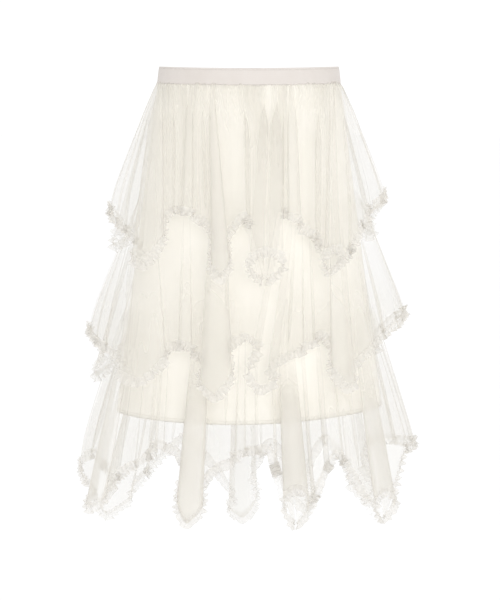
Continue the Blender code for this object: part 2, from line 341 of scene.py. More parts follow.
def crease_height(seed, home_mm, drop):
    """How far creases lift the cloth, in mm, and how many there are."""
    series = np.random.default_rng(seed)
    height, count = np.zeros(drop.shape), 0
    low, high = float(home_mm.min()), float(home_mm.max())
    for crease in CREASES:
        middle = low
        while middle < high:
            wide = crease.wide * series.uniform(*CREASE_VARIES["wide"])
            deep = crease.deep * series.uniform(*CREASE_VARIES["deep"])
            deep *= series.choice((-1.0, 1.0, 1.0))
            long = crease.long * series.uniform(*CREASE_VARIES["long"])
            drift = series.uniform(*CREASE_VARIES["drift"])
            growth = np.minimum(1.0 + CREASE_WIDENS * drop / crease.long, CREASE_WIDEST)
            crest_mm = middle + drift * np.minimum(drop, DRIFT_ENDS)
            near = (home_mm - crest_mm) / (wide * growth / spread_at(drop))
            rise = ease(drop / crease.starts) if crease.starts else 1.0
            height += deep * np.exp(-near * near * 2.0) * rise * np.exp(-(drop / long) ** 2)
            middle += crease.spacing * series.uniform(*CREASE_VARIES["spacing"])
            count += 1
    return height, count


seam_mm = np.linspace(0.0, 500.0, 501)[None, :]
print("creases on half a metre of seam:", crease_height(1, seam_mm, seam_mm * 0.0)[1])

# %% Gathers
GATHER_SPACING = 12.0
GATHER_DEEP = 1.2
GATHER_FADE = 60.0
SLOW_WANDER = (1.2, 19.0)
QUICK_WANDER = (0.8, 11.0)
Folds = namedtuple("Folds", "lift gathers")


def gather_height(home_mm):
    """The even little pleats that the seam's running stitch draws up, 0 to 1."""
    wander = (SLOW_WANDER[0] * np.sin(home_mm / SLOW_WANDER[1])
              + QUICK_WANDER[0] * np.sin(home_mm / QUICK_WANDER[1] + 1.0))
    return 0.5 + 0.5 * np.cos(2 * np.pi * home_mm / GATHER_SPACING + wander)


heights = gather_height(seam_mm[0])
print("gathers on half a metre of seam:", int(np.sum(np.diff(np.sign(heights - 0.5)) > 0)))

# %% [markdown]
# ## A flounce in space
# With the oval, the flutes and the creases in hand, a point of the net is found
# from its column and its drop. Seen from the front, the middle of a flute keeps
# to a straight line, and its sides turn behind it over the first centimetres.
# Creases are smoother on the back of a loop, so that its layers don't meet.
# Near the seam the cloth is drawn in under what it is sewn to.

# %% Points of a flounce
TURN_LENGTH = 70.0
TUCK = 1.9
TUCK_LENGTH = 5.0
BACK_STARTS = (0.35, 0.3)
BACK_ENDS = (0.92, 0.08)
BACK_SMOOTHING = 0.85
HOME_ANGLE = 45.0


def past(where, station):
    """0 up to a share of the way round a loop, easing to 1 over a length."""
    start, length = station
    return ease((where - start) / length)


def on_back(where):
    """1 on the back of a loop, 0 on its front and where it meets flat cloth."""
    return past(where, BACK_STARTS) * (1 - past(where, BACK_ENDS))


def flounce_points(tier, flutes, columns, drop, seed):
    """Points of half a flounce for drops in mm, one row of columns each, and
    the folds that lift them."""
    half_width, half_depth = tier_oval(tier, drop)
    share = np.maximum(drop, 0.0) / tier.full
    full_width = tier_oval(tier, tier.full)[0]

    def field(index, name):
        return flute_field(flutes, index, name)[None, :]

    def centre(index):
        seam, hem = field(index, "seam"), field(index, "hem")
        sideways = lerp(tier.half_width * np.sin(np.radians(seam)),
                        full_width * np.sin(np.radians(hem)), share) / half_width
        turned = np.degrees(np.arcsin(np.clip(sideways, -1.0, 1.0)))
        straight = np.where(seam > 90.0, 180.0 - turned, turned)
        return np.where(field(index, "width") > 0, straight, lerp(seam, hem, share))

    def size(index):
        return np.maximum(share, 1e-6) ** field(index, "opens")

    def across(index, where):
        half_span = lerp(field(index, "gather"), field(index, "width") / 2, size(index))
        turned = ease(drop / TURN_LENGTH)
        bell = loop_value("along", where)[None, :] * half_span
        section = lerp(loop_value("open", where)[None, :],
                       loop_value("closed", where)[None, :], field(index, "neck"))
        loop = np.maximum(section * half_span, loop_value("least", where)[None, :])
        return np.where(field(index, "width") > 0, lerp(bell, loop, turned), 0.0)

    ones = np.ones(len(columns.left))

    def joint(index, hand):
        middle = centre(index)
        scale = mm_per_degree(half_width, half_depth, middle)
        return middle + hand * across(index, ones) / scale

    folded = (columns.where >= 0)[None, :]
    where = np.maximum(columns.where, 0.0)
    degrees = np.where(folded, centre(columns.left),
                       lerp(joint(columns.left, 1), joint(columns.right, -1),
                            columns.between[None, :]))
    sideways = np.where(folded, columns.side[None, :] * across(columns.left, where), 0.0)
    out = np.where(folded, loop_value("out", where)[None, :]
                   * field(columns.left, "depth") * size(columns.left), 0.0)

    seam_scale = mm_per_degree(tier.half_width, tier.half_depth, HOME_ANGLE)
    home = (degrees[0] * seam_scale + sideways[0])[None, :]
    lift = crease_height(seed, home, drop)[0]
    below_seam = np.maximum(drop, 0.0)
    gathers = gather_height(home) * np.exp(-below_seam / GATHER_FADE)
    out = (out + GATHER_DEEP * gathers + lift * (1 - BACK_SMOOTHING * on_back(where)[None, :])
           - TUCK * np.exp(-below_seam / TUCK_LENGTH))

    x, y, along_x, along_y = oval_point(half_width, half_depth, degrees)
    x = x + along_x * sideways + along_y * out
    y = y + along_y * sideways - along_x * out
    return place(x, y, tier.top - drop, degrees), Folds(lift, gathers)


print("how much of a loop is its back, from its crest to the flat cloth:",
      on_back(np.linspace(0.0, 1.0, 6)).round(2))

# %% [markdown]
# ## How densely the net covers
# Net is threads and holes, so its look depends on how many threads lie in the
# way. Folds too small to model pack more of them together, at the seam's
# gathers, on the flutes and in the valleys of creases. So each point of the net
# carries a number, its cover, which the finish reads. It is low at the start of
# a flounce that hangs behind another, and where a loop opens at its mouth.

# %% Cover of the net
FLAT_COVER = 0.29
FLUTE_COVER = 0.43
FLUTE_FULL_AT = 50.0
USUAL_DEPTH = 26.0
VALLEY_COVER = 0.07
SPARSE_SHARE = 0.4
CREST_ENDS = (0.40, 0.35)
SIDE_STARTS = (0.15, 0.3)
START_THINNING = 0.4
OPENS_OUT_AT = 170.0
NECK_STARTS = (0.75, 0.15)
NECK_THINNING = 0.5
MOUTH_THINNING = 0.95
MOUTH_EDGE = 18.0
BACK_THINNING = 0.35
SIDE_THINNING = 0.4
SIDE_SHARPNESS = 6
GATHER_COVER = 0.175
GATHER_RIDGES = 1.6
GATHER_ROOT = 0.6
GATHER_LENGTH = 50.0
SEAM_COVER = 0.03
SEAM_HIDDEN = 25.0
CLEARS_AT = 50.0
FILLS_AT = 205.0
SIDE_FILL = 0.8


def net_cover(tier, flutes, columns, drop, folds):
    """How much of the view the net covers: most on flutes and gathers and in
    the valleys of creases, least at the seams that another flounce hides."""
    def field(index, name):
        return flute_field(flutes, index, name)[None, :]

    where = columns.where[None, :]
    crest = np.where(where >= 0, 1 - past(where, CREST_ENDS), 0.0)
    dense = field(columns.left, "dense")
    deep = field(columns.left, "depth") / USUAL_DEPTH * dense
    packed = (FLUTE_COVER - FLAT_COVER) * crest * deep * ease(drop / FLUTE_FULL_AT)
    cover = (FLAT_COVER + packed) * (1 - VALLEY_COVER * folds.lift)
    sparse = lerp(SPARSE_SHARE, 1.0, np.minimum(dense, 1.0))
    cover = cover * np.where(where >= 0, sparse, 1.0)

    hems_at = lerp(field(columns.left, "hem"), field(columns.right, "hem"), columns.between)
    at_side = np.abs(np.sin(np.radians(hems_at))) ** SIDE_SHARPNESS
    at_back = np.maximum(-np.cos(np.radians(hems_at)), 0.0)
    starting = past(where, SIDE_STARTS) * (1 - ease(drop / OPENS_OUT_AT))
    cover = cover * (1 - START_THINNING * starting) * (1 - BACK_THINNING * at_back)
    cover = cover * (1 - NECK_THINNING * past(where, NECK_STARTS))
    behind = np.where(where > 0.5, 1.0, 0.0)
    open_mouth = ease((drop - drop[-1:] + field(columns.left, "notch")) / MOUTH_EDGE)
    cover = cover * (1 - MOUTH_THINNING * behind * open_mouth)

    if tier is TIERS["tier1"]:
        root = GATHER_ROOT * np.exp(-drop / GATHER_LENGTH)
        cover = cover * (1 - SIDE_THINNING * at_side)
        return cover + GATHER_COVER * (GATHER_RIDGES * folds.gathers + root)
    fill = ease((drop - CLEARS_AT) / (FILLS_AT - CLEARS_AT))
    fill = lerp(fill, 1.0, SIDE_FILL * at_side)
    return lerp(SEAM_COVER, cover, fill) * ease(drop / SEAM_HIDDEN)


print("cover of flat net and of a flute's crest:", FLAT_COVER, FLUTE_COVER)

# %% [markdown]
# ## The pointed hem
# Net cut in points hangs a little rounded, so between the drops that the table
# gives the hem runs halfway between straight lines and soft waves. Over the
# mouth of a notched loop it is an arch.

# %% Drops of the hem
HEM_ROUNDING = 0.5
NOTCH_ENDS = 0.92


def run_along(line):
    """How far along a line each of its points lies, in metres."""
    steps = np.linalg.norm(np.diff(line, axis=0), axis=1)
    return np.concatenate([[0.0], np.cumsum(steps)])


def hem_drops(tier, flutes, columns):
    """The hem's drop at every column, and how far along the cloth it lies."""
    level = np.full((2, len(columns.left)), tier.full)
    level[0] = 0.0
    points = flounce_points(tier, flutes, columns, level, 0)[0][1]
    travelled = run_along(points[:, :2])
    stops = sorted(columns.known)
    drops = np.empty(len(travelled))
    for start, end in zip(stops, stops[1:]):
        here = travelled[start:end + 1]
        share = (here - here[0]) / (here[-1] - here[0])
        eased = (1 - np.cos(np.pi * share)) / 2
        drops[start:end + 1] = lerp(columns.known[start], columns.known[end],
                                    lerp(share, eased, HEM_ROUNDING))
    notch = np.where(columns.where >= 0, flute_field(flutes, columns.left, "notch"), 0.0)
    bottom = flute_field(flutes, columns.left, "drop")
    arch = (1 + np.cos(np.pi * np.minimum(columns.where / NOTCH_ENDS, 1.0))) / 2
    return np.where(notch > 0, bottom - notch * arch, drops), travelled


for name, rows in FLUTES.items():
    drops = hem_drops(tier_of(name), *lay_columns(tier_of(name), rows))[0]
    print(name, "hem drops from", round(drops.min()), "to", round(drops.max()), "mm")

# %% [markdown]
# ## Sheets of cloth
# Every piece of cloth is an open sheet of quads with a map of its own cloth:
# one unit of the map is a metre of net, so that the weave of the material is
# the real size and follows the cloth into its folds.

# %% Make a sheet
def make_sheet(name, points, across_m, down_m, closed=False, cover=None):
    """A sheet through a grid of points, with a cloth map in metres."""
    rows, width = points.shape[:2]
    index = np.arange(rows * width).reshape(rows, width)
    if closed:
        index = np.concatenate([index, index[:, :1]], axis=1)
    quads = np.stack([index[:-1, :-1], index[1:, :-1], index[1:, 1:], index[:-1, 1:]],
                     axis=-1).reshape(-1, 4)
    mesh = bpy.data.meshes.new(name)
    mesh.from_pydata(points.reshape(-1, 3).tolist(), [], quads.tolist())
    mesh.shade_smooth()
    if closed:
        last = across_m[:, -1:] * 2 - across_m[:, -2:-1]
        across_m = np.concatenate([across_m, last], axis=1)
        down_m = np.concatenate([down_m, down_m[:, :1]], axis=1)
    grid = np.stack([across_m, down_m], axis=-1)
    corners = np.stack([grid[:-1, :-1], grid[1:, :-1], grid[1:, 1:], grid[:-1, 1:]], axis=2)
    cloth_map = mesh.uv_layers.new(name="cloth")
    cloth_map.data.foreach_set("uv", corners.reshape(-1))
    if cover is not None:
        painted = mesh.attributes.new("cover", "FLOAT", "POINT")
        painted.data.foreach_set("value", cover.reshape(-1))
    piece = bpy.data.objects.new(name, mesh)
    bpy.context.scene.collection.objects.link(piece)
    return piece


def sheet_area(piece):
    """The area of a sheet's own surface, in square metres."""
    return sum(face.area for face in piece.data.polygons)


def in_rows(values, rows):
    """The same values across the cloth, for each of a number of rows."""
    return np.repeat(values[None, :], rows, axis=0)


def in_columns(values, columns):
    """The same values down the cloth, for each of a number of columns."""
    return np.repeat(values[:, None], columns, axis=1)


print("one unit of the cloth map is", round(1 / MM), "mm of cloth")

# %% [markdown]
# ## Pleats that lie over themselves
# Gathered net also falls into narrow pleats, where the cloth doubles back and
# lies on itself. They show as soft darker streaks that fan out from the seam.
# A pleat is made by pushing the cloth along itself, further than its own
# width, and lifting the layer that comes to lie in front.

# %% Plan the pleats
Pleat = namedtuple("Pleat", "middle wide over lift long")
PLEAT_SPACING = 30.0
PLEAT_WIDE = 11.0
PLEAT_OVER = 0.85
PLEAT_LIFT = 1.4
PLEAT_VARIES = {"wide": (0.6, 1.4), "over": (0.8, 1.2), "lift": (0.6, 1.2),
                "long": (110.0, 420.0), "spacing": (0.75, 1.4)}
FIRST_PLEAT = 0.7
LAST_PLEAT = 0.6
PLEAT_ROOM = 2.05


def plan_pleats(cloth_mm, folded, seed):
    """Pleats along the flat cloth, uneven in place, width, depth and length."""
    series = np.random.default_rng(seed)
    pleats, middle = [], PLEAT_SPACING * FIRST_PLEAT
    while middle < cloth_mm[-1] - PLEAT_SPACING * LAST_PLEAT:
        wide = PLEAT_WIDE * series.uniform(*PLEAT_VARIES["wide"])
        over = PLEAT_OVER * series.uniform(*PLEAT_VARIES["over"])
        lift = PLEAT_LIFT * series.uniform(*PLEAT_VARIES["lift"]) * series.choice((-1, 1))
        long = series.uniform(*PLEAT_VARIES["long"])
        ends = np.interp([middle - wide, middle, middle + wide], cloth_mm, folded)
        if ends.max() < 0.5:
            pleats.append(Pleat(middle, wide, over, lift, long))
        step = PLEAT_SPACING * series.uniform(*PLEAT_VARIES["spacing"])
        middle += max(PLEAT_ROOM * wide, step)
    return pleats


flat_metre = np.linspace(0.0, 1000.0, 101)
print("pleats on a flat metre:", len(plan_pleats(flat_metre, flat_metre * 0.0, 1)))

# %% Lay the pleats
PLEAT_THINNING = 0.35
PLEAT_START = 90.0
PLEAT_END = 80.0
WIDE_SAMPLES = 3.0
PLEAT_SAMPLES = 11
CLOSEST_SAMPLES = 0.5


def pleat_samples(cloth_mm, pleats):
    """Places along the cloth: wide steps, and close ones across each pleat."""
    spots = [np.arange(0.0, cloth_mm, WIDE_SAMPLES), np.array([cloth_mm])]
    across = np.linspace(-1, 1, PLEAT_SAMPLES)
    spots += [pleat.middle + pleat.wide * across for pleat in pleats]
    spots = np.unique(np.round(np.clip(np.concatenate(spots), 0.0, cloth_mm), 2))
    keep = np.concatenate([[True], np.diff(spots) > CLOSEST_SAMPLES])
    keep[-1] = True
    return spots[keep]


def read_along(line, run, spots):
    """Points of a line at other places along it."""
    return np.stack([np.interp(spots, run, line[:, axis]) for axis in range(3)], axis=-1)


def lay_pleats(points, cloth_mm, drops_mm, cover, pleats):
    """Resample rows of points so that the cloth doubles back at each pleat."""
    spots = pleat_samples(cloth_mm[-1], pleats)
    drop = np.stack([np.interp(spots, cloth_mm, row) for row in drops_mm])
    slide, lift, thin = np.zeros(drop.shape), np.zeros(drop.shape), np.ones(drop.shape)
    for pleat in pleats:
        aside = (spots - pleat.middle) / pleat.wide
        near = np.sin(np.pi * aside) * np.cos(np.pi * aside / 2)
        near = np.where(np.abs(aside) < 1, near, 0.0)
        fade = ease(drop / PLEAT_START) * (1 - ease((drop - pleat.long) / PLEAT_END))
        slide -= pleat.over * pleat.wide * near[None, :] * fade
        lift -= pleat.lift * near[None, :] * fade
        thin -= PLEAT_THINNING * np.abs(near)[None, :] * fade
    pushed = np.clip(spots[None, :] + slide, 0.0, cloth_mm[-1])
    laid = np.stack([read_along(row, cloth_mm, places) for row, places in zip(points, pushed)])
    along = np.gradient(np.stack([read_along(row, cloth_mm, spots) for row in points]), axis=1)
    out = np.stack([along[..., 1], -along[..., 0]], axis=-1)
    out /= np.maximum(np.linalg.norm(out, axis=-1, keepdims=True), 1e-9)
    laid[..., :2] += out * (lift * MM)[..., None]
    cover = np.stack([np.interp(places, cloth_mm, row) for places, row in zip(pushed, cover)])
    return laid, spots, drop, cover * thin


print("samples along a flat metre:", len(pleat_samples(1000.0, plan_pleats(
    flat_metre, flat_metre * 0.0, 1))))

# %% [markdown]
# ## Hang the flounces
# A half flounce is hung by giving each column a row of drops, closer together
# near the seam, and asking for their points. Where the hem runs behind the open
# mouth of a loop its ruffle would fill the ring, so that stretch is noted here
# and the ruffle is made thinner there.

# %% Hang the six half flounces
NET_ROWS = 56
ROW_CROWDING = 1.2
SEAM_ALLOWANCE = 4.0
FOLD_SEED = 11
PLEAT_SEED = 21
BEHIND_MARGIN = 4.0
BEHIND_EDGE = 8.0


def hem_behind_loops(tier, flutes, columns):
    """1 where the flat hem runs behind a notched loop, 0 elsewhere."""
    left = flute_field(flutes, columns.left, "hem")
    right = flute_field(flutes, columns.right, "hem")
    scale = mm_per_degree(*tier_oval(tier, tier.full), (left + right) / 2)
    span = np.abs(right - left) * scale
    behind = np.zeros(len(span))
    for index, away in ((columns.left, columns.between), (columns.right, 1 - columns.between)):
        loop_reach = flute_field(flutes, index, "width") / 2
        inside = ease((loop_reach + BEHIND_MARGIN - away * span) / BEHIND_EDGE)
        notched = flute_field(flutes, index, "notch") > 0
        behind = np.maximum(behind, np.where(notched, inside, 0.0))
    return np.where(columns.where >= 0, 0.0, behind)


flounces, hems, hems_behind = {}, {}, {}
for number, (name, table) in enumerate(FLUTES.items()):
    tier = tier_of(name)
    flutes, columns = lay_columns(tier, table)
    drops, travelled = hem_drops(tier, flutes, columns)
    shares = np.linspace(0.0, 1.0, NET_ROWS + 1) ** ROW_CROWDING
    drop = shares[:, None] * drops[None, :]
    drop[0] = -SEAM_ALLOWANCE
    points, folds = flounce_points(tier, flutes, columns, drop, FOLD_SEED + number)
    cover = net_cover(tier, flutes, columns, drop, folds)
    cloth_mm = travelled / MM
    pleats = plan_pleats(cloth_mm, columns.where >= 0, PLEAT_SEED + number)
    points, spots, drop, cover = lay_pleats(points, cloth_mm, drop, cover, pleats)
    across_m = in_rows(spots * MM, len(drop))
    flounces[name] = make_sheet(f"{name}_net", points, across_m, -drop * MM, cover=cover)
    hems[name] = points
    hems_behind[name] = np.interp(spots, cloth_mm, hem_behind_loops(tier, flutes, columns))
    print(name, len(flounces[name].data.polygons), "quads,", len(pleats), "pleats,",
          round(sheet_area(flounces[name]), 3), "m2,", round(float(travelled[-1]), 2), "m wide")

# %% [markdown]
# ## The ruffles
# Each hem is edged with a strip of net gathered along a line near its middle.
# About two fifths of the strip stand above the hem on the flounce, and the rest
# falls below it. Drawn up so tightly, the strip can't lie flat: it loops in and
# out, and its loops lean over and touch.

# %% Directions along a hem
LINE_SMOOTHING, DOWN_SMOOTHING, ALONG_SMOOTHING = 3, 8, 4


def smooth_along(values, reach_steps):
    """Average rows of vectors with their neighbours."""
    kernel = np.hanning(2 * reach_steps + 3)[1:-1]
    kernel /= kernel.sum()
    padded = np.pad(values, ((reach_steps, reach_steps), (0, 0)), mode="edge")
    return np.stack([np.convolve(padded[:, axis], kernel, mode="valid")
                     for axis in range(values.shape[1])], axis=1)


def unit(vectors):
    """The same directions with a length of 1."""
    return vectors / np.maximum(np.linalg.norm(vectors, axis=-1, keepdims=True), 1e-12)


def hem_directions(hem, above):
    """A smooth line along a hem, and which way is along it, out and away."""
    line = smooth_along(hem, LINE_SMOOTHING)
    down = unit(smooth_along(unit(hem - above), DOWN_SMOOTHING))
    along = unit(smooth_along(np.gradient(line, axis=0), ALONG_SMOOTHING))
    out = unit(np.cross(down, along))
    return line, along, out, unit(np.cross(along, out))


for name, net in hems.items():
    print(name, "hem line:", round(float(run_along(net[-1])[-1]), 2), "m")

# %% Loops of the strip
RUFFLE_WIDTH = 15.0
RUFFLE_ABOVE = 0.42
RUFFLE_STEP = 0.75
RUFFLE_ROWS = 9
RUFFLE_LOOP = 10.5
RUFFLE_DEEP = 5.4
RUFFLE_VARIES = {"loop": (0.7, 1.35), "deep": (0.5, 1.35), "lean": (-0.7, 1.1),
                 "curl": (-0.7, 0.7), "width": (0.72, 1.25)}
STAND_POWER = 0.75
TWIST = 0.8
RIPPLE, RIPPLE_TURNS, RIPPLE_TWIST = 0.15, 2.3, 5
CLEARANCE = 0.5
ABOVE_DEEP, ABOVE_MEAN, ABOVE_SWING = 1.1, 0.75, 0.6
CURL = 1.4
SHEAR, LOOP_ROUNDING = 0.25, 0.12
SHORTENING = 0.10


def ruffle_points(net, seed):
    """The looped strip along the last row of a flounce's points."""
    run = run_along(net[-1]) / MM
    spots = np.arange(0.0, run[-1], RUFFLE_STEP)
    line, along, out, away = hem_directions(
        read_along(net[-1], run, spots), read_along(net[-3], run, spots))
    series = np.random.default_rng(seed)
    loops = [0.0]
    while loops[-1] < spots[-1] + RUFFLE_LOOP:
        loops.append(loops[-1] + RUFFLE_LOOP * series.uniform(*RUFFLE_VARIES["loop"]))

    def varied(kind):
        return np.interp(spots, loops, series.uniform(*RUFFLE_VARIES[kind], len(loops)))

    turn = 2 * np.pi * np.interp(spots, loops, np.arange(len(loops)))
    deep = RUFFLE_DEEP * varied("deep")
    lean = varied("lean")
    curl = varied("curl")
    width = RUFFLE_WIDTH * varied("width")
    rows = []
    for row in range(RUFFLE_ROWS):
        # level is the place down the strip from the hem, and free grows from 0
        # at the hem, where the strip is sewn, to 1 at its loose lower edge
        level = row / (RUFFLE_ROWS - 1) - RUFFLE_ABOVE
        free = abs(level) / (1 - RUFFLE_ABOVE)
        stand = deep * free ** STAND_POWER
        wave = np.sin(turn + TWIST * level)
        wave = wave + RIPPLE * np.sin(RIPPLE_TURNS * turn + RIPPLE_TWIST * level)
        if level < 0:
            push = CLEARANCE + stand * ABOVE_DEEP * (ABOVE_MEAN + ABOVE_SWING * wave)
        else:
            push = CLEARANCE * (1 - free) + stand * wave + CURL * curl * free ** 2
        slide = SHEAR * stand * lean * np.sin(turn) - LOOP_ROUNDING * stand * np.sin(2 * turn)
        fall = level * width * (1 - SHORTENING * free * np.cos(turn * 0.5) ** 2)
        rows.append(line + MM * (away * fall[:, None] + out * push[:, None]
                                 + along * slide[:, None]))
    return np.stack(rows), spots


print("loops along a metre of hem: about", round(1 / (RUFFLE_LOOP * MM)))

# %% Ruffles along the hems
RUFFLE_GATHER = 1.9
RUFFLE_COVER = {"front": 0.57, "back": 0.38}
BEHIND_THINNING = 0.8
RUFFLE_SEED = 41
ruffles, ruffle_lengths = {}, {}
for number, (flounce, net) in enumerate(hems.items()):
    points, spots = ruffle_points(net, RUFFLE_SEED + number)
    half = flounce.split("_")[1]
    name = f"ruffle{flounce[4]}_{half}"
    down_m = in_columns(np.linspace(0, -RUFFLE_WIDTH * MM, RUFFLE_ROWS), len(spots))
    across_m = in_rows(spots * RUFFLE_GATHER * MM, RUFFLE_ROWS)
    behind = np.interp(spots, run_along(net[-1]) / MM, hems_behind[flounce])
    cover = in_rows(RUFFLE_COVER[half] * (1 - BEHIND_THINNING * behind), RUFFLE_ROWS)
    ruffles[name] = make_sheet(f"{name}_strip", points, across_m, down_m, cover=cover)
    ruffle_lengths[name] = spots[-1] * MM
    print(name, len(ruffles[name].data.polygons), "quads along",
          round(ruffle_lengths[name], 2), "m of hem")

# %% [markdown]
# ## The slip
# The slip is a plain A-line lining in soft cloth. It shows through the net as a
# paler field with an even hem. Its hem is folded up once inside, so there are
# two layers in the last few millimetres.

# %% Front and back of the slip
LINING_TOP = (141.5, 99.0)
LINING_FOOT = (207.0, 149.0)
LINING_START = -13.3
LINING_DROP = 505.0
LINING_HEM_SAG = 11.0
LINING_HEM_LEAN = -4.5
LINING_HEM_FOLD = 7.0
LINING_FOLD_GAP = -0.5
LINING_CLOTH_WIDE = math.pi * 0.18  # metres, half the mean way round the slip
LINING_COLUMNS = 150
LINING_ROWS = 90
FOLD_ROWS = 5
SOFT_FOLDS = 9
SOFT_VARIES = {"wide": (7, 16), "deep": (-1.6, 1.2)}


def soft_folds(degrees, share, start, end, seed):
    """Broad, shallow folds of a hanging cloth, in mm."""
    series = np.random.default_rng(seed)
    soft = np.zeros(share.shape)
    for _ in range(SOFT_FOLDS):
        middle = series.uniform(start, end)
        wide = series.uniform(*SOFT_VARIES["wide"])
        deep = series.uniform(*SOFT_VARIES["deep"])
        soft += deep * np.exp(-((degrees[None, :] - middle) / wide) ** 2) * ease(share * 1.1)
    return soft


def lining_points(start, end, seed):
    """Points of half the slip, and their places on its flat cloth."""
    degrees = np.linspace(start + SIDE_GAP_DEGREES, end - SIDE_GAP_DEGREES, LINING_COLUMNS)
    turn = np.radians(degrees)
    full = LINING_DROP + LINING_HEM_SAG * np.cos(turn) ** 2 + LINING_HEM_LEAN * np.sin(turn)
    shares = np.linspace(0.0, 1.0, LINING_ROWS)
    folded_up = np.linspace(0.1, LINING_HEM_FOLD, FOLD_ROWS)
    drop = np.concatenate([shares[:, None] * full[None, :],
                           full[None, :] - folded_up[:, None]])
    inward = np.repeat([0.0, LINING_FOLD_GAP], [LINING_ROWS, FOLD_ROWS])[:, None]
    share = drop / full[None, :]
    half_width = lerp(LINING_TOP[0], LINING_FOOT[0], share)
    half_depth = lerp(LINING_TOP[1], LINING_FOOT[1], share)
    out = inward + soft_folds(degrees, share, start, end, seed)
    x, y, along_x, along_y = oval_point(half_width, half_depth, degrees[None, :])
    points = place(x + along_y * out, y - along_x * out, LINING_START - drop, degrees[None, :])
    across_m = in_rows(np.linspace(0, LINING_CLOTH_WIDE, LINING_COLUMNS), len(drop))
    up_mm = full[None, :] - drop
    up_mm[LINING_ROWS:] *= -1
    return points, across_m, up_mm * MM


linings = {}
for name, start, end, seed in (("lining_front", -90, 90, 71), ("lining_back", 90, 270, 72)):
    linings[name] = make_sheet(f"{name}_slip", *lining_points(start, end, seed))
    print(name, "cloth", round(sheet_area(linings[name]), 3), "m2")

# %% [markdown]
# ## The waistband
# The band is a flat tube of smooth elastic knit. Its section is drawn once,
# with a rolled upper edge, a fine groove under it and a flat face, and it is
# carried round the oval of the waist.

# %% Section of the band, carried round the waist
BAND_TOP = (138.5, 97.0)
BAND_FOOT = (141.5, 99.5)
BAND_HALF_HEIGHT = 13.0
BAND_COLUMNS = 240
BAND_ROUND = 0.76
BAND_CLOTH_LONG = 0.056
BAND_SECTION = (
    # height from the foot, 0 to 1, and how far out from the middle of the wall
    (0.000, -0.5), (0.004, 0.4), (0.012, 1.0), (0.10, 1.15), (0.30, 1.3), (0.55, 1.3),
    (0.80, 1.2), (0.875, 1.05), (0.895, 0.65), (0.915, 1.05), (0.955, 1.15), (0.985, 0.8),
    (1.000, 0.1), (0.985, -0.7), (0.90, -1.0), (0.50, -1.0), (0.06, -1.0),
)


def band_points():
    """The band's section, carried round the waist."""
    degrees = np.arange(BAND_COLUMNS) * 360.0 / BAND_COLUMNS
    rows = []
    for height, out in BAND_SECTION + BAND_SECTION[:1]:
        x, y, along_x, along_y = oval_point(lerp(BAND_FOOT[0], BAND_TOP[0], height),
                                            lerp(BAND_FOOT[1], BAND_TOP[1], height), degrees)
        z = lerp(-BAND_HALF_HEIGHT, BAND_HALF_HEIGHT, height)
        rows.append(place(x + along_y * out, y - along_x * out, z, degrees))
    return np.stack(rows)


points = band_points()
across_m = in_rows(np.arange(BAND_COLUMNS) * BAND_ROUND / BAND_COLUMNS, len(points))
down_m = in_columns(np.linspace(0, BAND_CLOTH_LONG, len(points)), BAND_COLUMNS)
waistband = make_sheet("waistband_elastic", points, across_m, down_m, closed=True)
print("waistband", len(waistband.data.polygons), "quads")

# %% [markdown]
# ## Small helpers for shader nodes
# A node group is a recipe with named inputs and outputs that several materials
# share, each with its own values. Most of its steps are sums, so a helper that
# adds one Math node and plugs in its inputs keeps the recipes readable.

# %% Helpers for node groups
def new_group(name, inputs, outputs):
    """An empty shader group, with its input and output nodes."""
    group = bpy.data.node_groups.new(name, "ShaderNodeTree")
    for label, kind, value in inputs:
        socket = group.interface.new_socket(label, in_out="INPUT", socket_type=kind)
        if value is not None:
            socket.default_value = value
    for label, kind in outputs:
        group.interface.new_socket(label, in_out="OUTPUT", socket_type=kind)
    return group, group.nodes.new("NodeGroupInput"), group.nodes.new("NodeGroupOutput")


def math_node(tree, kind, *values, clamp=False):
    """One Math node, fed with numbers and with what other nodes put out."""
    node = tree.nodes.new("ShaderNodeMath")
    node.operation = kind
    node.use_clamp = clamp
    for socket, value in zip(node.inputs, values):
        if isinstance(value, (int, float)):
            socket.default_value = value
        else:
            tree.links.new(value, socket)
    return node.outputs[0]


def noise_node(tree, cloth, scale, detail):
    """Soft clouds on the flat cloth."""
    noise = tree.nodes.new("ShaderNodeTexNoise")
    noise.noise_dimensions = "2D"
    noise.inputs["Scale"].default_value = scale
    noise.inputs["Detail"].default_value = detail
    tree.links.new(cloth, noise.inputs["Vector"])
    return noise.outputs["Fac"]


# %% [markdown]
# ## Net, as a shader group
# Soft net is a mesh of fine threads with holes between them. From a distance
# only its average shows, but close up the cells can be seen. The group turns
# the cloth map into cells and gives a mask of the threads. Slow clouds and long
# streaks down the cloth make the density uneven, as it is in a soft fabric.

# %% The net group
CELL_UNEVENNESS = 0.32
THREAD_WIDTH = 0.13
THREAD_SHARE = 0.45
NET_CLOUDS = {"scale": 7.0, "detail": 0.5}
CLOUD_RANGE, CLOUD_LOWEST = 0.35, 0.82
STREAKS = (((16.0, 0.5, 1.0), 1.1), ((38.0, 0.7, 1.0), 0.5))

net_group, group_in, group_out = new_group(
    "net_threads",
    [("Cloth", "NodeSocketVector", None), ("Cells per metre", "NodeSocketFloat", 1200.0),
     ("Cover", "NodeSocketFloat", 0.3), ("Contrast", "NodeSocketFloat", 0.4),
     ("Streaks", "NodeSocketFloat", 0.5)],
    [("Cover", "NodeSocketFloat"), ("Threads", "NodeSocketFloat")])
cloth = group_in.outputs["Cloth"]
cells = net_group.nodes.new("ShaderNodeTexVoronoi")
cells.voronoi_dimensions = "2D"
cells.feature = "DISTANCE_TO_EDGE"
cells.inputs["Randomness"].default_value = CELL_UNEVENNESS
net_group.links.new(cloth, cells.inputs["Vector"])
net_group.links.new(group_in.outputs["Cells per metre"], cells.inputs["Scale"])
threads = math_node(net_group, "LESS_THAN", cells.outputs["Distance"], THREAD_WIDTH)

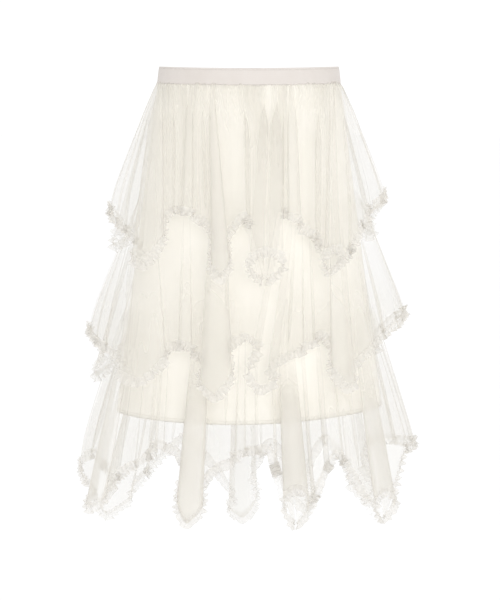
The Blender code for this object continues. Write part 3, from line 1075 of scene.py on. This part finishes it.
clouds = noise_node(net_group, cloth, **NET_CLOUDS)
uneven = math_node(net_group, "MULTIPLY_ADD", clouds, CLOUD_RANGE, CLOUD_LOWEST)
for per_metre, share in STREAKS:
    drawn = net_group.nodes.new("ShaderNodeVectorMath")
    drawn.operation = "MULTIPLY"
    drawn.inputs[1].default_value = per_metre
    net_group.links.new(cloth, drawn.inputs[0])
    offset = noise_node(net_group, drawn.outputs[0], scale=1.0, detail=0.0)
    offset = math_node(net_group, "SUBTRACT", offset, 0.5)
    offset = math_node(net_group, "MULTIPLY", offset, share)
    offset = math_node(net_group, "MULTIPLY", offset, group_in.outputs["Streaks"])
    offset = math_node(net_group, "ADD", offset, 1.0)
    uneven = math_node(net_group, "MULTIPLY", uneven, offset)

swing = math_node(net_group, "SUBTRACT", threads, THREAD_SHARE)
swing = math_node(net_group, "MULTIPLY", swing, group_in.outputs["Contrast"])
swing = math_node(net_group, "ADD", swing, 1.0)
cover = math_node(net_group, "MULTIPLY", group_in.outputs["Cover"], swing)
cover = math_node(net_group, "MULTIPLY", cover, uneven, clamp=True)
net_group.links.new(cover, group_out.inputs["Cover"])
net_group.links.new(threads, group_out.inputs["Threads"])
print("net group:", len(net_group.nodes), "nodes")

# %% [markdown]
# ## Weave, ribs and stitches
# The slip is woven, so its surface is a fine over and under of two threads.
# The band is a rib knit: lines of stitches that run up the band and shrink or stretch with it. One
# group gives both a height for the bump and a painted shade, darker in the hollows between threads
# and lighter on their crowns, with uneven tone mixed in. A second draws a stitch line, a row of
# dashes at one level of the cloth map.

# %% The relief group
THREADS_PER_METRE = 1400.0
# How much painted shade the threads' height gives: hollows painted darker, crowns painted lighter.
PAINTED_SHADE_OF_HEIGHT = 0.25
CLOTH_CLOUDS = {"scale": 30.0, "detail": 4.0}


def wave_of(tree, value, per_metre):
    """A wave from 0 to 1, repeated a number of times in a metre of cloth."""
    turned = math_node(tree, "MULTIPLY", value, per_metre)
    turned = math_node(tree, "MULTIPLY", turned, 2 * math.pi)
    return math_node(tree, "MULTIPLY_ADD", math_node(tree, "SINE", turned), 0.5, 0.5)


def split_cloth(tree, source):
    """The places across and down the cloth, as two numbers."""
    parts = tree.nodes.new("ShaderNodeSeparateXYZ")
    tree.links.new(source, parts.inputs[0])
    return parts.outputs["X"], parts.outputs["Y"]


relief_group, group_in, group_out = new_group(
    "thread_relief",
    [("Cloth", "NodeSocketVector", None),
     ("Across per metre", "NodeSocketFloat", THREADS_PER_METRE),
     ("Down per metre", "NodeSocketFloat", THREADS_PER_METRE),
     ("Down share", "NodeSocketFloat", 0.5)],
    [("Height", "NodeSocketFloat"), ("Painted shade and tone", "NodeSocketFloat")])
across, down = split_cloth(relief_group, group_in.outputs["Cloth"])
warp = wave_of(relief_group, across, group_in.outputs["Across per metre"])
weft = wave_of(relief_group, down, group_in.outputs["Down per metre"])
weft = math_node(relief_group, "MULTIPLY", weft, group_in.outputs["Down share"])
height = math_node(relief_group, "ADD", warp, weft)
clouds = noise_node(relief_group, group_in.outputs["Cloth"], **CLOTH_CLOUDS)
# Painted shade from the relief: low places darker and high places lighter, mixed with uneven tone
# from the clouds.
painted_shade_and_tone = math_node(relief_group, "MULTIPLY_ADD", height, PAINTED_SHADE_OF_HEIGHT, clouds)
relief_group.links.new(height, group_out.inputs["Height"])
relief_group.links.new(painted_shade_and_tone, group_out.inputs["Painted shade and tone"])
print("relief group:", len(relief_group.nodes), "nodes")

# %% The stitch group
STITCH_SHARE = 0.68

stitch_group, group_in, group_out = new_group(
    "stitch_line",
    [("Cloth", "NodeSocketVector", None), ("Level", "NodeSocketFloat", 0.006),
     ("Thread width", "NodeSocketFloat", 0.0006),
     ("Stitches per metre", "NodeSocketFloat", 350.0)],
    [("Stitches", "NodeSocketFloat")])
across, down = split_cloth(stitch_group, group_in.outputs["Cloth"])
off_line = math_node(stitch_group, "SUBTRACT", down, group_in.outputs["Level"])
off_line = math_node(stitch_group, "ABSOLUTE", off_line)
on_line = math_node(stitch_group, "LESS_THAN", off_line, group_in.outputs["Thread width"])
dash = math_node(stitch_group, "MULTIPLY", across, group_in.outputs["Stitches per metre"])
dash = math_node(stitch_group, "LESS_THAN", math_node(stitch_group, "FRACT", dash), STITCH_SHARE)
stitch = math_node(stitch_group, "MULTIPLY", on_line, dash)
stitch_group.links.new(stitch, group_out.inputs["Stitches"])
print("stitch group:", len(stitch_group.nodes), "nodes")

# %% [markdown]
# ## The two nets
# The net takes a little more cover where it is seen on edge, as real net does,
# because more threads line up. Part of what it covers is lit through from
# behind, so white cloth behind white net stays bright. The ruffle is the same
# net, gathered, so it glows a little more and its streaks are lost.

# %% Helpers for finishes
def new_finish(name, colour, roughness):
    """A material with one shader of a colour and roughness."""
    material = bpy.data.materials.new(name)
    material.use_nodes = True
    shader = material.node_tree.nodes["Principled BSDF"]
    shader.inputs["Base Color"].default_value = (*colour, 1.0)
    shader.inputs["Roughness"].default_value = roughness
    return material, material.node_tree, shader


def cloth_of(tree):
    """The cloth map, as a node's output."""
    cloth = tree.nodes.new("ShaderNodeUVMap")
    cloth.uv_map = "cloth"
    return cloth.outputs["UV"]


def place_group(tree, group, cloth, values):
    """A group in a material, on the cloth map and with its own values."""
    node = tree.nodes.new("ShaderNodeGroup")
    node.node_tree = group
    tree.links.new(cloth, node.inputs["Cloth"])
    for label, value in values.items():
        node.inputs[label].default_value = value
    return node


def add_bump(tree, shader, height, strength, distance):
    """Relief on a shader, from a height."""
    bump = tree.nodes.new("ShaderNodeBump")
    bump.inputs["Strength"].default_value = strength
    bump.inputs["Distance"].default_value = distance
    tree.links.new(height, bump.inputs["Height"])
    tree.links.new(bump.outputs["Normal"], shader.inputs["Normal"])


# %% Finishes of flounces and ruffles
NET_CELLS = 1250.0
NET_CONTRAST = 0.2
EDGE_BLEND = 0.35


def add_net(tree, shader, streaks, edge, glow):
    """Cover from the net group, shared between lit threads and threads lit through."""
    net = place_group(tree, net_group, cloth_of(tree), {
        "Cells per metre": NET_CELLS, "Contrast": NET_CONTRAST, "Streaks": streaks})
    painted = tree.nodes.new("ShaderNodeAttribute")
    painted.attribute_name = "cover"
    tree.links.new(painted.outputs["Fac"], net.inputs["Cover"])
    facing = tree.nodes.new("ShaderNodeLayerWeight")
    facing.inputs["Blend"].default_value = EDGE_BLEND
    on_edge = math_node(tree, "MULTIPLY_ADD", facing.outputs["Facing"], edge, 1.0)
    cover = math_node(tree, "MULTIPLY", net.outputs["Cover"], on_edge, clamp=True)
    glowing = math_node(tree, "MULTIPLY", cover, glow)
    alpha = math_node(tree, "DIVIDE", math_node(tree, "SUBTRACT", cover, glowing),
                      math_node(tree, "SUBTRACT", 1.0, glowing), clamp=True)
    tree.links.new(alpha, shader.inputs["Alpha"])
    add_bump(tree, shader, net.outputs["Threads"], 0.08, 0.0002)
    through = tree.nodes.new("ShaderNodeBsdfTranslucent")
    through.inputs["Color"].default_value = shader.inputs["Base Color"].default_value
    mix = tree.nodes.new("ShaderNodeMixShader")
    tree.links.new(glowing, mix.inputs["Fac"])
    tree.links.new(shader.outputs["BSDF"], mix.inputs[1])
    tree.links.new(through.outputs["BSDF"], mix.inputs[2])
    tree.links.new(mix.outputs["Shader"], tree.nodes["Material Output"].inputs["Surface"])


net_finish, net_tree, net_shader = new_finish("soft_net", (0.75, 0.725, 0.672), 0.85)
add_net(net_tree, net_shader, streaks=0.8, edge=0.15, glow=0.35)

ruffle_finish, ruffle_tree, ruffle_shader = new_finish("ruffle_net", (0.79, 0.77, 0.735), 0.85)
add_net(ruffle_tree, ruffle_shader, streaks=0.3, edge=0.1, glow=0.4)
print("net finish:", len(net_tree.nodes), "nodes")

# %% [markdown]
# ## The slip cloth and the band knit
# Both are thread relief on the cloth map, with painted shade: a darker copy of the cloth's colour
# in the hollows and a lighter, painted-light copy on the crowns. The slip has a faint sheen and
# lets a trace of light through. The band is matt, with ribs that run up it and two lines of
# stitches.

# %% Finishes of the slip and the band
STITCH_SHADE = 0.82


def mix_colours(tree, share, first, second):
    """The first colour turning into the second by a share."""
    mix = tree.nodes.new("ShaderNodeMix")
    mix.data_type = "RGBA"
    tree.links.new(share, mix.inputs["Factor"])
    for label, colour in (("A", first), ("B", second)):
        if isinstance(colour, tuple):
            mix.inputs[label].default_value = (*colour, 1.0)
        else:
            tree.links.new(colour, mix.inputs[label])
    return mix.outputs["Result"]


def add_relief(tree, shader, shaded_hollow_colour, lit_crown_colour, per_metre, down_share, strength, stitch_levels):
    """Thread relief, painted shade in the hollows and painted light on the crowns, and stitch
    lines at some levels.
    """
    cloth = cloth_of(tree)
    relief = place_group(tree, relief_group, cloth, {
        "Across per metre": per_metre[0], "Down per metre": per_metre[1],
        "Down share": down_share})
    height = relief.outputs["Height"]
    # Painted shade: the hollow colour fills the low places of the threads and the crown colour the
    # high ones.
    painted_shade_and_tone = mix_colours(tree, relief.outputs["Painted shade and tone"], shaded_hollow_colour, lit_crown_colour)
    for level in stitch_levels:
        sewn = place_group(tree, stitch_group, cloth, {"Level": level}).outputs["Stitches"]
        painted_shade_and_tone = mix_colours(tree, sewn, painted_shade_and_tone, tuple(tone * STITCH_SHADE for tone in shaded_hollow_colour))
        height = math_node(tree, "SUBTRACT", height, sewn)
    tree.links.new(painted_shade_and_tone, shader.inputs["Base Color"])
    add_bump(tree, shader, height, strength, 0.0003)


lining_finish, lining_tree, lining_shader = new_finish("slip_cloth", (0.85, 0.825, 0.76), 0.55)
lining_shader.inputs["Alpha"].default_value = 0.96
lining_shader.inputs["Sheen Weight"].default_value = 0.12
lining_shader.inputs["Sheen Roughness"].default_value = 0.4
# The two colours are the slip's painted shade in the thread hollows and painted light on the
# crowns.
add_relief(lining_tree, lining_shader, (0.83, 0.805, 0.735), (0.87, 0.845, 0.785),
           (THREADS_PER_METRE, THREADS_PER_METRE), 1.0, 0.12, (0.0058,))

band_finish, band_tree, band_shader = new_finish("band_knit", (0.61, 0.568, 0.533), 0.75)
band_shader.inputs["Sheen Weight"].default_value = 0.1
# The two colours are the band's painted shade in the rib hollows and painted light on the rib
# crowns.
add_relief(band_tree, band_shader, (0.582, 0.537, 0.498), (0.640, 0.600, 0.568),
           (900.0, 620.0), 0.4, 0.25, (0.0238, 0.0247))

for pieces, finish in ((flounces, net_finish), (ruffles, ruffle_finish), (linings, lining_finish)):
    for piece in pieces.values():
        piece.data.materials.append(finish)
waistband.data.materials.append(band_finish)
print("slip finish:", len(lining_tree.nodes), "nodes; band finish:", len(band_tree.nodes))

# %% [markdown]
# ## Join the pieces to the solid model
# Each sheet stands for one solid, which is hidden, and rides with the one body of the skirt. The
# size each was cut to is printed. A flounce was cut about an eighth larger than its surface here,
# because its smallest gathers are in the material, and its points leave more than a quarter of the
# rectangle unused.

# %% Rides, hidden solids and cut sizes
SMALL_GATHERS = 1.12
FLOUNCE_OF_RECTANGLE = 0.72
SLIP_OF_RECTANGLE = 0.84


def declare(piece, node, flat):
    """Hang a sheet on the body of the skirt, hide the solid it stands for and print the size it
    was cut to.
    """
    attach(piece, "root")
    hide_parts(node)
    print(node, "cut", [round(size, 3) for size in flat], "m")


for name, piece in flounces.items():
    long = max(flute.drop for flute in FLUTES[name]) * MM
    area = sheet_area(piece) * SMALL_GATHERS
    wide = area / long / FLOUNCE_OF_RECTANGLE
    declare(piece, name, (wide, long))
for name, piece in ruffles.items():
    wide = ruffle_lengths[name] * RUFFLE_GATHER
    declare(piece, name, (wide, RUFFLE_WIDTH * MM))
for name, piece in linings.items():
    long = (LINING_DROP + LINING_HEM_SAG + LINING_HEM_FOLD) * MM
    area = sheet_area(piece)
    wide = area / long / SLIP_OF_RECTANGLE
    declare(piece, name, (wide, long))
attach(waistband, "root")
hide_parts("waistband")

# %% [markdown]
# ## Floor and light
# The waist of the skirt is at the height of a wearer's waist, so the floor is a
# metre below it. Light is soft and comes from all round, as in a white studio,
# with one large lamp in front, a little to one side, so that the cloth shows
# its own colour and the folds get a little shade. Light goes through many
# layers of net, so the renderer may follow it through up to 48 of them.

# %% Studio
FLOOR_HALF = 60.0
FLOOR_LEVEL = -1.02
SKY_STRENGTH = 1.06
LAMP_PLACE = (0.9, -4.9, 0.1)
LAMP_AIM = (0, 0, -0.35)
LAMP_SIZE = 3.0
LAMP_POWER = 75.0
LAYERS_OF_NET = 48

corners = [(x * FLOOR_HALF, y * FLOOR_HALF, FLOOR_LEVEL)
           for x, y in ((-1, -1), (1, -1), (1, 1), (-1, 1))]
floor_mesh = bpy.data.meshes.new("studio_floor")
floor_mesh.from_pydata(corners, [], [(0, 1, 2, 3)])
floor_mesh.materials.append(new_finish("studio_white", (0.96, 0.96, 0.96), 0.9)[0])
floor = bpy.data.objects.new("studio_floor", floor_mesh)
bpy.context.scene.collection.objects.link(floor)

world = bpy.data.worlds.new("studio_world")
bpy.context.scene.world = world
world.use_nodes = True
sky = world.node_tree.nodes["Background"]
sky.inputs["Color"].default_value = (1.0, 1.0, 1.0, 1.0)
sky.inputs["Strength"].default_value = SKY_STRENGTH

lamp_data = bpy.data.lights.new("key_lamp", "AREA")
lamp_data.shape = "DISK"
lamp_data.size = LAMP_SIZE
lamp_data.energy = LAMP_POWER
lamp = bpy.data.objects.new("key_lamp", lamp_data)
lamp.location = LAMP_PLACE
beam = Vector(np.array(LAMP_AIM) - np.array(LAMP_PLACE))
lamp.rotation_euler = beam.to_track_quat("-Z", "Y").to_euler()
bpy.context.scene.collection.objects.link(lamp)

bpy.context.scene.view_settings.view_transform = "Standard"
bpy.context.scene.cycles.transparent_max_bounces = LAYERS_OF_NET
print("lamp stands", round(beam.length, 2), "m from the middle of the skirt")

# %% [markdown]
# ## Camera
# The camera stands at the height of the waist and looks a little down, so the
# band shows its outside only. It stands far away with a long lens, as is usual
# for clothes, so that the skirt is drawn without the stretch of a near view.

# %% Camera
CAMERA_DISTANCE = 6.0
CAMERA_ASIDE = 0.0016
AIM_HEIGHT = -0.35
FRAME_WIDTH = 0.7775
SENSOR_WIDTH = 36.0
camera_data = bpy.data.cameras.new("camera")
camera_data.sensor_fit = "HORIZONTAL"
camera_data.sensor_width = SENSOR_WIDTH
camera_data.lens = SENSOR_WIDTH * CAMERA_DISTANCE / FRAME_WIDTH
camera_data.clip_end = 100.0
camera = bpy.data.objects.new("camera", camera_data)
camera.location = (CAMERA_ASIDE, -CAMERA_DISTANCE, 0.0)
aim = Vector((0.0, CAMERA_DISTANCE, AIM_HEIGHT))
camera.rotation_euler = aim.to_track_quat("-Z", "Y").to_euler()
bpy.context.scene.collection.objects.link(camera)
bpy.context.scene.camera = camera
print("lens:", round(camera_data.lens), "mm")
